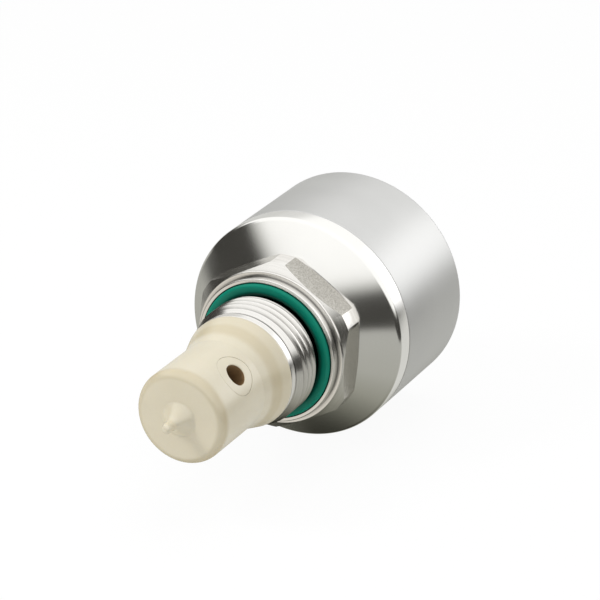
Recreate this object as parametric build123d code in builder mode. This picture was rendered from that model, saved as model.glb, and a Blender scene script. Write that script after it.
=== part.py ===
from build123d import *
from math import cos, radians, sin, sqrt, tan
import os

# Inductive conductivity sensor with a screwed process connection.
# The sensor's axis is Y: the probe points to -Y, the plug to +Y, and +Z is up.
# The origin is on that axis, in the plane of the collar's sealing lip.
# Radii are measured from the axis, stations along it, all in millimetres.

# Process thread G 1 and the steel nose in front of it
thread_diameter = 33.249
nose_step = 1.32
nose_length = 2.65
stub_length = 14.6
undercut_step = 1.72
undercut_length = 3.0
edge_break = 0.3
corner_rounding = 0.2

# Collar with its sealing lip and the recess of the seal
recess_width = 4.1
recess_depth = 1.6
lip_width = 1.05
lip_height = 2.1
collar_step = 1.35
collar_length = 0.7

# Hexagon, turned at its corners and chamfered at both ends
hex_across_flats = 43.0
hex_corner_allowance = 4.4
hex_corner_length = 5.9
hex_chamfer_angle = 30.0
hex_first_corner_angle = 26.6
neck_step = 0.5
neck_spigot_wall = 2.2

# Housing: conical front cap, welded tube, flat rear cover
housing_radius = 31.0
cap_cone_angle = 27.6
cap_edge_rounding = 1.5
cap_depth = 10.8
cap_floor_thickness = 5.4
cap_floor_chamfer = 2.0
cap_spigot_length = 3.6
cap_spigot_wall = 1.8
seam_groove = 0.25
tube_length = 32.5
tube_wall = 1.5
tube_rear_rounding = 0.9
cover_thickness = 2.5
cover_recess = 1.0
cover_edge_chamfer = 0.5
weld_clearance = 0.05

# Probe moulding: barrel, flared flange, shank in the steel bore, tip with a nib
barrel_radius = 12.65
barrel_wall = 1.85
barrel_length = 31.5
tip_wall = 2.0
tip_rounding = 2.4
cavity_rounding = 1.0
flange_rim_length = 0.7
flange_rim_rounding = 0.5
flange_length = 7.0
flare_length = 3.0
flare_step = 0.65
flare_foot_rounding = 2.5
flare_start_rounding = 1.5
shank_step = 0.25
shank_setback = 3.4
nib_radius = 1.3
nib_length = 7.2
nib_rounding = 1.1
nib_foot_radius = 4.6
nib_foot_rounding = 3.2
nib_foot_edge_rounding = 1.0
nib_bore_radius = 0.85
nib_wall = 0.8

# Flow channel through the barrel, square to its axis
channel_distance = 13.4
channel_angle = 43.8
channel_radius = 2.9
channel_mouth_rounding = 0.35
flow_tube_radius = 5.6
seat_clearance = 0.03

# Two ring coils on the flow tube, with a screen between them
coil_gap = 0.15
turn_thickness = 0.35
turn_width = 0.7
turn_rounding = 0.3
turn_count = 20
turn_sweep = 342.0
core_thickness = 3.4
screen_thickness = 0.5
screen_gap = 0.15
part_clearance = 0.05

# Temperature element in the nib and the leads
element_radius = 0.75
element_length = 3.4
element_rounding = 0.4
lead_radius = 0.35
lead_bend = 1.6
lead_wall_gap = 0.55
lead_floor_gap = 0.9
lead_pair_spacing = 0.9
coil_lead_spread = 8.0

# Seals and the ring nut that holds the probe
seal_recess_clearance = 0.05
seal_height = 2.5
seal_rounding = 1.05
bore_clearance = 0.1
probe_seal_section = 1.6
probe_seal_setback = 3.9
probe_seal_squeeze = 0.05
probe_seal_play = 0.3
ring_nut_thickness = 3.6
ring_nut_width = 3.4
ring_nut_setback = 0.6
ring_nut_slots = 4
ring_nut_slot_width = 2.5
ring_nut_slot_depth = 1.6
ring_nut_clearance = 0.4

# Boards, their posts and screws
board_edge_gap = 1.25
board_thickness = 1.6
front_post_height = 5.0
rear_board_gap = 2.6
post_radius = 2.5
post_edge_distance = 3.2
post_count = 3
first_post_angle = 90.0
screw_radius = 1.25
screw_head_radius = 2.3
screw_head_height = 1.7
screw_head_rounding = 0.55
screw_drive_width = 1.4
screw_drive_depth = 0.8
screw_reach = 3.0
screw_hole_spare = 0.3
screw_clearance = 0.15
liner_gap = 0.3
liner_wall = 0.6

# Parts on the boards, placed from the axis or from the board's edge
measuring_chip_size = 7.0
measuring_chip_left = 5.5
measuring_chip_rise = 4.0
processor_chip_size = 10.0
processor_chip_right = 8.0
processor_chip_rise = 8.0
chip_height = 1.2
chip_chamfer = 0.25
transformer_size = 11.0
transformer_height = 8.0
transformer_right = 9.0
transformer_drop = 4.0
transformer_rounding = 0.8
transformer_window = 5.0
transformer_window_depth = 2.0
capacitor_radius = 3.0
capacitor_height = 7.5
capacitor_rounding = 0.5
capacitor_count = 3
capacitor_spacing = 7.5
capacitor_drop = 14.0
link_base_height = 2.5
link_width = 5.0
link_edge_distance = 10.0
link_pin_pitch = 2.54
link_pin_radius = 0.32
link_pin_count = 5

# Round plug connector M12 x 1 at the rear
plug_thread_diameter = 12.0
plug_thread_length = 9.5
plug_thread_rounding = 0.6
plug_wall = 1.4
plug_neck_length = 2.1
plug_neck_step = 0.7
plug_flange_width = 2.0
plug_flange_height = 1.8
plug_barrel_step = 1.0
plug_barrel_length = 5.0
plug_seal_section = 1.0
plug_nut_width = 2.6
plug_nut_height = 2.0
insert_face_depth = 7.5
insert_clearance = 0.1
key_width = 1.4
key_height = 0.7
key_setback = 1.5
pin_radius = 0.5
pin_spacing = 3.71
pin_reach = 5.8
pin_tip_rounding = 0.3

# How far a cutting profile runs past the surface that it cuts
cut_overrun = 1.0

# Radii that follow from the sizes above
thread_radius = thread_diameter / 2
nose_radius = thread_radius - nose_step
undercut_radius = thread_radius - undercut_step
lip_inner_radius = undercut_radius + recess_width
lip_outer_radius = lip_inner_radius + lip_width
collar_radius = lip_outer_radius + collar_step
hex_corner_radius = (hex_across_flats + hex_corner_allowance) / 2
neck_radius = hex_across_flats / 2 - neck_step
cavity_radius = barrel_radius - barrel_wall
flare_foot_radius = barrel_radius + flare_step
shank_radius = barrel_radius - shank_step
bore_radius = shank_radius + bore_clearance
probe_seal_groove_radius = shank_radius + probe_seal_section + 2 * probe_seal_squeeze
ring_nut_radius = shank_radius + ring_nut_width
counterbore_radius = ring_nut_radius + ring_nut_clearance
neck_spigot_radius = counterbore_radius + neck_spigot_wall
tube_inner_radius = housing_radius - tube_wall
cap_spigot_radius = tube_inner_radius - weld_clearance
cap_inner_radius = cap_spigot_radius - cap_spigot_wall
liner_radius = tube_inner_radius - liner_gap
board_radius = cap_inner_radius - board_edge_gap
post_circle_radius = board_radius - post_edge_distance
coil_inner_radius = flow_tube_radius + coil_gap
core_inner_radius = coil_inner_radius + turn_thickness
plug_thread_radius = plug_thread_diameter / 2
plug_bore_radius = plug_thread_radius - plug_wall
plug_neck_radius = plug_thread_radius - plug_neck_step
plug_barrel_radius = plug_thread_radius + plug_barrel_step
plug_flange_radius = plug_barrel_radius + plug_flange_width
plug_nut_radius = plug_barrel_radius + plug_nut_width
plug_groove_radius = plug_barrel_radius + plug_seal_section + 2 * part_clearance

# Stations of the process connection and the housing
nose_station = -stub_length
thread_start_station = nose_station + nose_length
collar_station = lip_height + collar_length
chamfer_slope = tan(radians(hex_chamfer_angle))
hex_corner_start = collar_station + (hex_corner_radius - collar_radius) * chamfer_slope
hex_corner_end = hex_corner_start + hex_corner_length
cap_station = hex_corner_end + (hex_corner_radius - neck_radius) * chamfer_slope
cap_corner_station = cap_station + (housing_radius - neck_radius) * tan(radians(cap_cone_angle))
seam_station = cap_station + cap_depth
cap_floor_station = cap_station + cap_floor_thickness
tube_rear_station = seam_station + tube_length
cover_rear_station = tube_rear_station - cover_recess
cover_front_station = cover_rear_station - cover_thickness

# Stations of the probe, its seal and its ring nut
flange_rim_station = nose_station - flange_rim_length
flare_foot_station = nose_station - flange_length
flare_start_station = flare_foot_station - flare_length
tip_station = nose_station - barrel_length
cavity_station = tip_station + tip_wall
channel_station = tip_station + channel_distance
nib_station = tip_station - nib_length
nib_foot_station = tip_station - nib_foot_radius + nib_radius
element_station = nib_station + nib_wall + part_clearance
element_end = element_station + element_length
shank_rear_station = cap_floor_station - shank_setback
ring_nut_station = shank_rear_station - ring_nut_setback - ring_nut_thickness
probe_seal_station = ring_nut_station - probe_seal_setback

# Stations of the plug connector and the boards
plug_flange_station = cover_rear_station + plug_flange_height
plug_neck_station = plug_flange_station + plug_neck_length
plug_face_station = plug_neck_station + plug_thread_length
plug_barrel_station = cover_front_station - plug_barrel_length
plug_groove_station = cover_rear_station + plug_seal_section + part_clearance
insert_station = plug_face_station - insert_face_depth
front_board_station = cap_floor_station + front_post_height
rear_post_station = front_board_station + board_thickness
rear_board_back = plug_barrel_station - rear_board_gap
rear_board_station = rear_board_back - board_thickness
rear_post_height = rear_board_station - rear_post_station

# The coils fill the cavity's width at the end of the pair that is nearest the wall
coil_thickness = core_thickness + 2 * (turn_thickness + part_clearance)
coil_offset = screen_thickness / 2 + screen_gap + coil_thickness / 2
coil_stack_half = coil_offset + coil_thickness / 2
coil_outer_radius = sqrt(cavity_radius**2 - coil_stack_half**2) - coil_gap
core_outer_radius = coil_outer_radius - turn_thickness - part_clearance
coil_back_station = channel_station + sqrt(coil_outer_radius**2 - (coil_lead_spread / 2) ** 2)

channel_direction = Vector(cos(radians(channel_angle)), 0, sin(radians(channel_angle)))
cross_direction = Vector(-sin(radians(channel_angle)), 0, cos(radians(channel_angle)))
channel_plane = Plane(origin=(0, channel_station, 0), x_dir=(0, 1, 0), z_dir=channel_direction)


def across(station):
    """Plane square to the sensor's axis, with X to the right, Z up and its normal to the rear."""
    return Plane(origin=(0, station, 0), x_dir=(-1, 0, 0), z_dir=(0, 1, 0))


def turn(*corners, mode=Mode.ADD):
    """Solid of revolution about the axis, from (radius, station, rounding) corners."""
    with BuildSketch(Plane.XY) as section:
        with BuildLine():
            Polyline(*[(radius, station) for radius, station, _ in corners], close=True)
        make_face()
        for radius, station, rounding in corners:
            if rounding > 0:
                fillet(section.vertices().sort_by_distance((radius, station))[0], rounding)
    revolve(section.sketch, axis=Axis.Y, mode=mode)


def save(piece, name):
    """Label a finished piece and write it to its file."""
    piece.part.label = name
    export_step(piece.part, f"parts/{name}.step")


os.makedirs("parts", exist_ok=True)

# Process connection: thread stub, collar, hexagon and rear spigot, turned and milled from one bar
with BuildPart() as process_connection:
    turn(
        (bore_radius, nose_station, 0),
        (nose_radius, nose_station, edge_break),
        (nose_radius, thread_start_station, 0),
        (thread_radius, thread_start_station + nose_step, 0),
        (thread_radius, -undercut_length, 0),
        (undercut_radius, undercut_step - undercut_length, 0),
        (undercut_radius, recess_depth, 0),
        (lip_inner_radius, recess_depth, 0),
        (lip_inner_radius, 0, edge_break / 2),
        (lip_outer_radius, 0, edge_break),
        (lip_outer_radius, lip_height, 0),
        (collar_radius, lip_height, edge_break),
        (collar_radius, collar_station, 0),
        (hex_corner_radius, hex_corner_start, 0),
        (hex_corner_radius, hex_corner_end, 0),
        (neck_radius, cap_station, 0),
        (neck_spigot_radius, cap_station, 0),
        (neck_spigot_radius, cap_floor_station, edge_break),
        (counterbore_radius, cap_floor_station, edge_break),
        (counterbore_radius, ring_nut_station, 0),
        (bore_radius, ring_nut_station, 0),
    )
    # Flats of the hexagon
    with BuildSketch(across(collar_station)):
        Circle(hex_corner_radius + cut_overrun)
        RegularPolygon(
            hex_across_flats / 2,
            6,
            major_radius=False,
            rotation=180 - hex_first_corner_angle,
            mode=Mode.SUBTRACT,
        )
    extrude(amount=cap_station - collar_station, mode=Mode.SUBTRACT)
    # Groove for the seal around the probe's shank
    groove_half = probe_seal_section / 2 + probe_seal_play
    turn(
        (bore_radius - cut_overrun, probe_seal_station - groove_half, 0),
        (probe_seal_groove_radius, probe_seal_station - groove_half, corner_rounding),
        (probe_seal_groove_radius, probe_seal_station + groove_half, corner_rounding),
        (bore_radius - cut_overrun, probe_seal_station + groove_half, 0),
        mode=Mode.SUBTRACT,
    )
save(process_connection, "process_connection")

# Seal in the collar's recess, with a rounded front
with BuildPart() as process_seal:
    turn(
        (undercut_radius + seal_recess_clearance, recess_depth, 0),
        (undercut_radius + seal_recess_clearance, recess_depth - seal_height, seal_rounding),
        (lip_inner_radius - seal_recess_clearance, recess_depth - seal_height, seal_rounding),
        (lip_inner_radius - seal_recess_clearance, recess_depth, 0),
    )
save(process_seal, "process_seal")

# Probe body: one moulding with barrel, flange, shank and the nib on its tip
with BuildPart() as probe_body:
    turn(
        (0, nib_station, 0),
        (nib_radius, nib_station, nib_rounding),
        (nib_radius, nib_foot_station, nib_foot_rounding),
        (nib_foot_radius, tip_station, nib_foot_edge_rounding),
        (barrel_radius, tip_station, tip_rounding),
        (barrel_radius, flare_start_station, flare_start_rounding),
        (flare_foot_radius, flare_foot_station, flare_foot_rounding),
        (nose_radius, flange_rim_station, flange_rim_rounding),
        (nose_radius, nose_station, 0),
        (shank_radius, nose_station, 0),
        (shank_radius, shank_rear_station, edge_break),
        (cavity_radius, shank_rear_station, edge_break),
        (cavity_radius, cavity_station, cavity_rounding),
        (nib_bore_radius, cavity_station, 0),
        (nib_bore_radius, nib_station + nib_wall, 0),
        (0, nib_station + nib_wall, 0),
    )
    # Seat of the flow tube through both walls
    with BuildSketch(channel_plane):
        Circle(flow_tube_radius + seat_clearance)
    extrude(amount=barrel_radius + cut_overrun, both=True, mode=Mode.SUBTRACT)
save(probe_body, "probe_body")

# Flow tube: bush through the barrel, welded in flush with its skin
with BuildPart() as flow_tube:
    with BuildSketch(channel_plane):
        Circle(flow_tube_radius)
        Circle(channel_radius, mode=Mode.SUBTRACT)
    extrude(amount=barrel_radius + cut_overrun, both=True)
    with BuildSketch(across(channel_station)):
        Circle(barrel_radius)
    extrude(amount=flow_tube_radius + cut_overrun, both=True, mode=Mode.INTERSECT)
    skin_edges = flow_tube.edges().filter_by(GeomType.LINE, reverse=True)
    fillet(skin_edges.sort_by(SortBy.LENGTH)[:2], channel_mouth_rounding)
save(flow_tube, "flow_tube")

# Ring coils: a ferrite core in single turns of wire, one coil sending and one receiving
for coil_name, side in (("transmit", -1), ("receive", 1)):
    coil_plane = channel_plane.offset(side * coil_offset)
    with BuildPart() as core:
        with BuildSketch(coil_plane.offset(-core_thickness / 2)):
            Circle(core_outer_radius)
            Circle(core_inner_radius + part_clearance, mode=Mode.SUBTRACT)
        extrude(amount=core_thickness)
    save(core, f"{coil_name}_core")

    with BuildPart() as winding:
        for turn_index in range(turn_count):
            turn_angle = radians(turn_sweep / turn_count * (turn_index + 0.5))
            outward = coil_plane.x_dir * cos(turn_angle) + coil_plane.y_dir * sin(turn_angle)
            along_core = outward.cross(channel_direction)
            with BuildSketch(Plane(origin=coil_plane.origin, x_dir=outward, z_dir=along_core)):
                with Locations(((coil_inner_radius + coil_outer_radius) / 2, 0)):
                    RectangleRounded(
                        coil_outer_radius - coil_inner_radius,
                        coil_thickness,
                        turn_rounding,
                    )
                    Rectangle(
                        coil_outer_radius - coil_inner_radius - 2 * turn_thickness,
                        core_thickness + 2 * part_clearance,
                        mode=Mode.SUBTRACT,
                    )
            extrude(amount=turn_width / 2, both=True)
    save(winding, f"{coil_name}_winding")

# Screen ring between the coils
with BuildPart() as coil_screen:
    with BuildSketch(channel_plane.offset(-screen_thickness / 2)):
        Circle(coil_outer_radius)
        Circle(coil_inner_radius, mode=Mode.SUBTRACT)
    extrude(amount=screen_thickness)
save(coil_screen, "coil_screen")

# Temperature element in the nib's bore
with BuildPart() as temperature_element:
    turn(
        (0, element_station, 0),
        (element_radius, element_station, element_rounding),
        (element_radius, element_end, corner_rounding),
        (0, element_end, 0),
    )
save(temperature_element, "temperature_element")

# Leads of the element: along the axis, out to the wall past the coils, back to the front board
lead_turn_station = cavity_station + lead_radius + lead_floor_gap
lead_circle_radius = cavity_radius - lead_radius - lead_wall_gap
with BuildPart() as temperature_leads:
    for side in (-1, 1):
        outward = (channel_direction * side + cross_direction).normalized()
        start = channel_direction * (side * lead_pair_spacing / 2)
        with BuildLine() as route:
            FilletPolyline(
                (start.X, element_end, start.Z),
                (start.X, lead_turn_station, start.Z),
                (outward.X * lead_circle_radius, lead_turn_station, outward.Z * lead_circle_radius),
                (outward.X * lead_circle_radius, front_board_station, outward.Z * lead_circle_radius),
                radius=lead_bend,
            )
        with BuildSketch(across(element_end)):
            with Locations((-start.X, start.Z)):
                Circle(lead_radius)
        sweep(path=route.line)
save(temperature_leads, "temperature_leads")

# Leads of the coils: two from each winding, straight back to the front board
with BuildPart() as coil_leads:
    for side in (-1, 1):
        for hand in (-1, 1):
            foot = channel_direction * (side * coil_offset) + cross_direction * (hand * coil_lead_spread / 2)
            with BuildSketch(across(coil_back_station + 2 * part_clearance)):
                with Locations((-foot.X, foot.Z)):
                    Circle(lead_radius)
            extrude(amount=front_board_station - coil_back_station - 2 * part_clearance)
save(coil_leads, "coil_leads")

# Seal around the probe's shank, in the steel bore's groove
with BuildPart() as probe_seal:
    with BuildSketch(Plane.XY):
        with Locations((shank_radius + probe_seal_squeeze + probe_seal_section / 2, probe_seal_station)):
            Circle(probe_seal_section / 2)
    revolve(axis=Axis.Y)
save(probe_seal, "probe_seal")

# Ring nut on the shank's rear end, with slots for a pin wrench
with BuildPart() as probe_ring_nut:
    ring_nut_rear = ring_nut_station + ring_nut_thickness
    turn(
        (shank_radius + part_clearance, ring_nut_station, corner_rounding),
        (ring_nut_radius, ring_nut_station, edge_break),
        (ring_nut_radius, ring_nut_rear, edge_break),
        (shank_radius + part_clearance, ring_nut_rear, corner_rounding),
    )
    with BuildSketch(across(ring_nut_rear)):
        with PolarLocations(ring_nut_radius, ring_nut_slots):
            Rectangle(ring_nut_width, ring_nut_slot_width)
    extrude(amount=-ring_nut_slot_depth, mode=Mode.SUBTRACT)
save(probe_ring_nut, "probe_ring_nut")

# Front cap: turned cone with a rounded edge, welded to the hexagon's neck and to the tube
with BuildPart() as front_cap:
    turn(
        (neck_spigot_radius + weld_clearance, cap_station, 0),
        (neck_radius, cap_station, 0),
        (housing_radius, cap_corner_station, cap_edge_rounding),
        (housing_radius, seam_station - seam_groove, 0),
        (housing_radius - seam_groove, seam_station, 0),
        (cap_spigot_radius, seam_station, 0),
        (cap_spigot_radius, seam_station + cap_spigot_length, edge_break),
        (cap_inner_radius, seam_station + cap_spigot_length, edge_break),
        (cap_inner_radius, cap_floor_station + cap_floor_chamfer, 0),
        (cap_inner_radius - cap_floor_chamfer, cap_floor_station, 0),
        (neck_spigot_radius + weld_clearance, cap_floor_station, edge_break),
    )
    # Tapped holes for the board screws
    with BuildSketch(across(cap_floor_station)):
        with PolarLocations(post_circle_radius, post_count, start_angle=first_post_angle):
            Circle(screw_radius + part_clearance)
    extrude(amount=-(screw_reach + screw_hole_spare), mode=Mode.SUBTRACT)
save(front_cap, "front_cap")

# Housing tube between the cap and the rear rim
with BuildPart() as housing_tube:
    turn(
        (tube_inner_radius, seam_station, 0),
        (housing_radius - seam_groove, seam_station, 0),
        (housing_radius, seam_station + seam_groove, 0),
        (housing_radius, tube_rear_station, tube_rear_rounding),
        (tube_inner_radius, tube_rear_station, corner_rounding),
    )
save(housing_tube, "housing_tube")

# Rear cover, welded inside the rim, with the plug connector's hole
with BuildPart() as rear_cover:
    turn(
        (plug_barrel_radius + weld_clearance, cover_front_station, 0),
        (tube_inner_radius - weld_clearance, cover_front_station, corner_rounding),
        (tube_inner_radius - weld_clearance, cover_rear_station, cover_edge_chamfer),
        (plug_barrel_radius + weld_clearance, cover_rear_station, 0),
    )
save(rear_cover, "rear_cover")

# Insulating liner between the boards and the tube
with BuildPart() as insulating_liner:
    liner_front_station = seam_station + cap_spigot_length + liner_gap
    turn(
        (liner_radius - liner_wall, liner_front_station, 0),
        (liner_radius, liner_front_station, 0),
        (liner_radius, cover_front_station - liner_gap, 0),
        (liner_radius - liner_wall, cover_front_station - liner_gap, 0),
    )
save(insulating_liner, "insulating_liner")

# Round boards with screw holes; the rear one also has holes for the plug's pins
with BuildPart() as sensor_board:
    with BuildSketch(across(front_board_station)):
        Circle(board_radius)
        with PolarLocations(post_circle_radius, post_count, start_angle=first_post_angle):
            Circle(screw_radius + screw_clearance, mode=Mode.SUBTRACT)
    extrude(amount=board_thickness)
save(sensor_board, "sensor_board")

with BuildPart() as supply_board:
    with BuildSketch(across(rear_board_station)):
        Circle(board_radius)
        with PolarLocations(post_circle_radius, post_count, start_angle=first_post_angle):
            Circle(screw_radius + screw_clearance, mode=Mode.SUBTRACT)
        with GridLocations(pin_spacing, pin_spacing, 2, 2):
            Circle(pin_radius + part_clearance, mode=Mode.SUBTRACT)
    extrude(amount=board_thickness)
save(supply_board, "supply_board")

# Posts and screws that hold the boards on the cap's floor
post_places = PolarLocations(post_circle_radius, post_count, start_angle=first_post_angle).locations
for number, place in enumerate(post_places, start=1):
    centre = (place.position.X, place.position.Y)
    for post_name, station, height in (
        ("front_post", cap_floor_station, front_post_height),
        ("rear_post", rear_post_station, rear_post_height),
    ):
        with BuildPart() as post:
            with BuildSketch(across(station)):
                with Locations(centre):
                    RegularPolygon(post_radius, 6)
                    Circle(screw_radius + screw_clearance, mode=Mode.SUBTRACT)
            extrude(amount=height)
        save(post, f"{post_name}_{number}")

    with BuildPart() as screw:
        with BuildSketch(across(cap_floor_station - screw_reach)):
            with Locations(centre):
                Circle(screw_radius)
        extrude(amount=rear_board_back - cap_floor_station + screw_reach)
        with BuildSketch(across(rear_board_back)):
            with Locations(centre):
                Circle(screw_head_radius)
        extrude(amount=screw_head_height)
        fillet(screw.faces().sort_by(Axis.Y)[-1].edges(), screw_head_rounding)
        with BuildSketch(across(rear_board_back + screw_head_height)):
            with Locations(centre):
                RegularPolygon(screw_drive_width, 6)
        extrude(amount=-screw_drive_depth, mode=Mode.SUBTRACT)
    save(screw, f"board_screw_{number}")

# Chips: flat packages with a chamfered top
measuring_chip_place = (-measuring_chip_left, measuring_chip_rise)
processor_chip_place = (processor_chip_right, processor_chip_rise)
for chip_name, station, size, place, facing in (
    ("measuring_chip", rear_post_station, measuring_chip_size, measuring_chip_place, 1),
    ("processor_chip", rear_board_station, processor_chip_size, processor_chip_place, -1),
):
    with BuildPart() as chip:
        with BuildSketch(across(station)):
            with Locations(place):
                Rectangle(size, size)
        extrude(amount=facing * chip_height)
        lid = chip.faces().sort_by(Axis.Y)[-1 if facing > 0 else 0]
        chamfer(lid.edges(), chip_chamfer)
    save(chip, chip_name)

# Transformer on the front board: a ferrite frame with its wound middle limb
with BuildPart() as transformer:
    with BuildSketch(across(rear_post_station)):
        with Locations((transformer_right, -transformer_drop)):
            Rectangle(transformer_size, transformer_size)
    extrude(amount=transformer_height)
    fillet(transformer.edges().filter_by(Axis.Y), transformer_rounding)
    with BuildSketch(across(rear_post_station + transformer_height)):
        with Locations((transformer_right, -transformer_drop)):
            Rectangle(transformer_window, transformer_size)
    extrude(amount=-transformer_window_depth, mode=Mode.SUBTRACT)
save(transformer, "transformer")

# Capacitors on the rear board's inner side
for number in range(1, capacitor_count + 1):
    capacitor_right = capacitor_spacing * (number - (capacitor_count + 1) / 2)
    with BuildPart() as capacitor:
        with BuildSketch(across(rear_board_station)):
            with Locations((capacitor_right, -capacitor_drop)):
                Circle(capacitor_radius)
        extrude(amount=-capacitor_height)
        fillet(capacitor.faces().sort_by(Axis.Y)[0].edges(), capacitor_rounding)
    save(capacitor, f"capacitor_{number}")

# Link between the boards: a row of pins in a moulded base at each end
with BuildPart() as board_link:
    link_place = (link_edge_distance - board_radius, 0)
    for station, facing in ((rear_post_station, 1), (rear_board_station, -1)):
        with BuildSketch(across(station)):
            with Locations(link_place):
                Rectangle(link_width, link_pin_pitch * link_pin_count)
        extrude(amount=facing * link_base_height)
    with BuildSketch(across(rear_post_station)):
        with Locations(link_place):
            with GridLocations(link_pin_pitch, link_pin_pitch, 1, link_pin_count):
                Circle(link_pin_radius)
    extrude(amount=rear_post_height)
save(board_link, "board_link")

# Shell of the plug connector: flange on the cover, threaded sleeve outside, barrel inside
with BuildPart() as connector_shell:
    turn(
        (plug_bore_radius, plug_barrel_station, 0),
        (plug_barrel_radius, plug_barrel_station, edge_break),
        (plug_barrel_radius, cover_rear_station, 0),
        (plug_flange_radius, cover_rear_station, 0),
        (plug_flange_radius, plug_flange_station, edge_break),
        (plug_neck_radius, plug_flange_station, 0),
        (plug_neck_radius, plug_neck_station, 0),
        (plug_thread_radius, plug_neck_station, 0),
        (plug_thread_radius, plug_face_station, plug_thread_rounding),
        (plug_bore_radius, plug_face_station, edge_break),
    )
    # Groove under the flange for its seal
    turn(
        (plug_barrel_radius, cover_rear_station, 0),
        (plug_groove_radius, cover_rear_station, 0),
        (plug_groove_radius, plug_groove_station, 0),
        (plug_barrel_radius, plug_groove_station, 0),
        mode=Mode.SUBTRACT,
    )
save(connector_shell, "connector_shell")

# Seal under the connector's flange
with BuildPart() as connector_seal:
    with BuildSketch(Plane.XY):
        with Locations(
            (
                plug_barrel_radius + part_clearance + plug_seal_section / 2,
                cover_rear_station + plug_seal_section / 2,
            )
        ):
            Circle(plug_seal_section / 2)
    revolve(axis=Axis.Y)
save(connector_seal, "connector_seal")

# Nut that clamps the connector from inside the cover
with BuildPart() as connector_nut:
    with BuildSketch(across(cover_front_station - plug_nut_height)):
        RegularPolygon(plug_nut_radius, 6)
        Circle(plug_barrel_radius + part_clearance, mode=Mode.SUBTRACT)
    extrude(amount=plug_nut_height)
save(connector_nut, "connector_nut")

# Insert that carries the pins, with its coding key along the bore's wall
with BuildPart() as connector_insert:
    insert_radius = plug_bore_radius - insert_clearance
    with BuildSketch(across(plug_barrel_station)):
        Circle(insert_radius)
    extrude(amount=insert_station - plug_barrel_station)
    with BuildSketch(across(insert_station)):
        Circle(insert_radius)
        Circle(insert_radius - key_height, mode=Mode.SUBTRACT)
        with Locations((0, insert_radius)):
            Rectangle(key_width, insert_radius, mode=Mode.INTERSECT)
    extrude(amount=insert_face_depth - key_setback)
    with BuildSketch(across(plug_barrel_station)):
        with GridLocations(pin_spacing, pin_spacing, 2, 2):
            Circle(pin_radius + part_clearance)
    extrude(amount=insert_station - plug_barrel_station, mode=Mode.SUBTRACT)
save(connector_insert, "connector_insert")

# Contact pins, from the rear board through the insert into the open sleeve
pin_places = GridLocations(pin_spacing, pin_spacing, 2, 2).locations
for number, place in enumerate(pin_places, start=1):
    with BuildPart() as contact_pin:
        with BuildSketch(across(rear_board_station)):
            with Locations((place.position.X, place.position.Y)):
                Circle(pin_radius)
        extrude(amount=insert_station + pin_reach - rear_board_station)
        fillet(contact_pin.faces().sort_by(Axis.Y)[-1].edges(), pin_tip_rounding)
    save(contact_pin, f"contact_pin_{number}")
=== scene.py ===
import math

import bpy
from mathutils import Matrix, Vector


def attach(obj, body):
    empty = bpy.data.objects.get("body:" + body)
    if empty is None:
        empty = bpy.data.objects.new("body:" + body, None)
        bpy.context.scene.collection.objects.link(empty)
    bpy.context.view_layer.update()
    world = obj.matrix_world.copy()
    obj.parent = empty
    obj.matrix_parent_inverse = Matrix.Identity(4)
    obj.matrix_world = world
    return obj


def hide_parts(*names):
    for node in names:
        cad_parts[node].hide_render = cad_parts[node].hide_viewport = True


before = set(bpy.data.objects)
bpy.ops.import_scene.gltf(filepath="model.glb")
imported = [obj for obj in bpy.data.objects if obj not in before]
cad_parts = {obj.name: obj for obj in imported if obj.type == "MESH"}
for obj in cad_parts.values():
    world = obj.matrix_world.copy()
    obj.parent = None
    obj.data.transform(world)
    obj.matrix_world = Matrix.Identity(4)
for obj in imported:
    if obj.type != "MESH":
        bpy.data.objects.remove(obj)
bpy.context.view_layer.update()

# Process connection: thread stub, collar, hexagon and rear spigot in one piece.
# Stainless bar, turned, with a cut G 1 pipe thread and six milled flats. It is
# the part that carries all others, so the sensor's axis and origin are its own.


def outline(corners, step_degrees=9):
    """Points of a half section in metres, from (radius, station, rounding) corners in millimetres."""
    points = []
    for index, (radius, station, rounding) in enumerate(corners):
        corner = Vector((radius, station))
        if rounding == 0:
            points.append(corner * 0.001)
            continue
        back = (Vector(corners[index - 1][:2]) - corner).normalized()
        ahead = (Vector(corners[(index + 1) % len(corners)][:2]) - corner).normalized()
        half = back.angle(ahead) / 2
        centre = corner + (back + ahead).normalized() * (rounding / math.sin(half))
        first = corner + back * (rounding / math.tan(half)) - centre
        last = corner + ahead * (rounding / math.tan(half)) - centre
        sweep = math.pi - 2 * half
        steps = max(3, round(math.degrees(sweep) / step_degrees))
        for step in range(steps + 1):
            turn = sweep * step / steps
            arm = (first * math.sin(sweep - turn) + last * math.sin(turn)) / math.sin(sweep)
            points.append((centre + arm) * 0.001)
    return points


def draw_line(name, points):
    """A chain of edges in the XY plane, drawn by extruding one vertex from point to point."""
    bpy.ops.object.select_all(action="DESELECT")
    bpy.ops.mesh.primitive_plane_add(size=0.001)
    piece = bpy.context.object
    piece.name = name
    bpy.ops.object.mode_set(mode="EDIT")
    bpy.ops.mesh.select_mode(type="VERT")
    bpy.ops.mesh.select_all(action="SELECT")
    bpy.ops.mesh.merge(type="CENTER")
    bpy.ops.transform.translate(value=(points[0].x, points[0].y, 0))
    for start, end in zip(points, points[1:]):
        move = {"value": (end.x - start.x, end.y - start.y, 0)}
        bpy.ops.mesh.extrude_region_move(TRANSFORM_OT_translate=move)
    return piece


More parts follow.
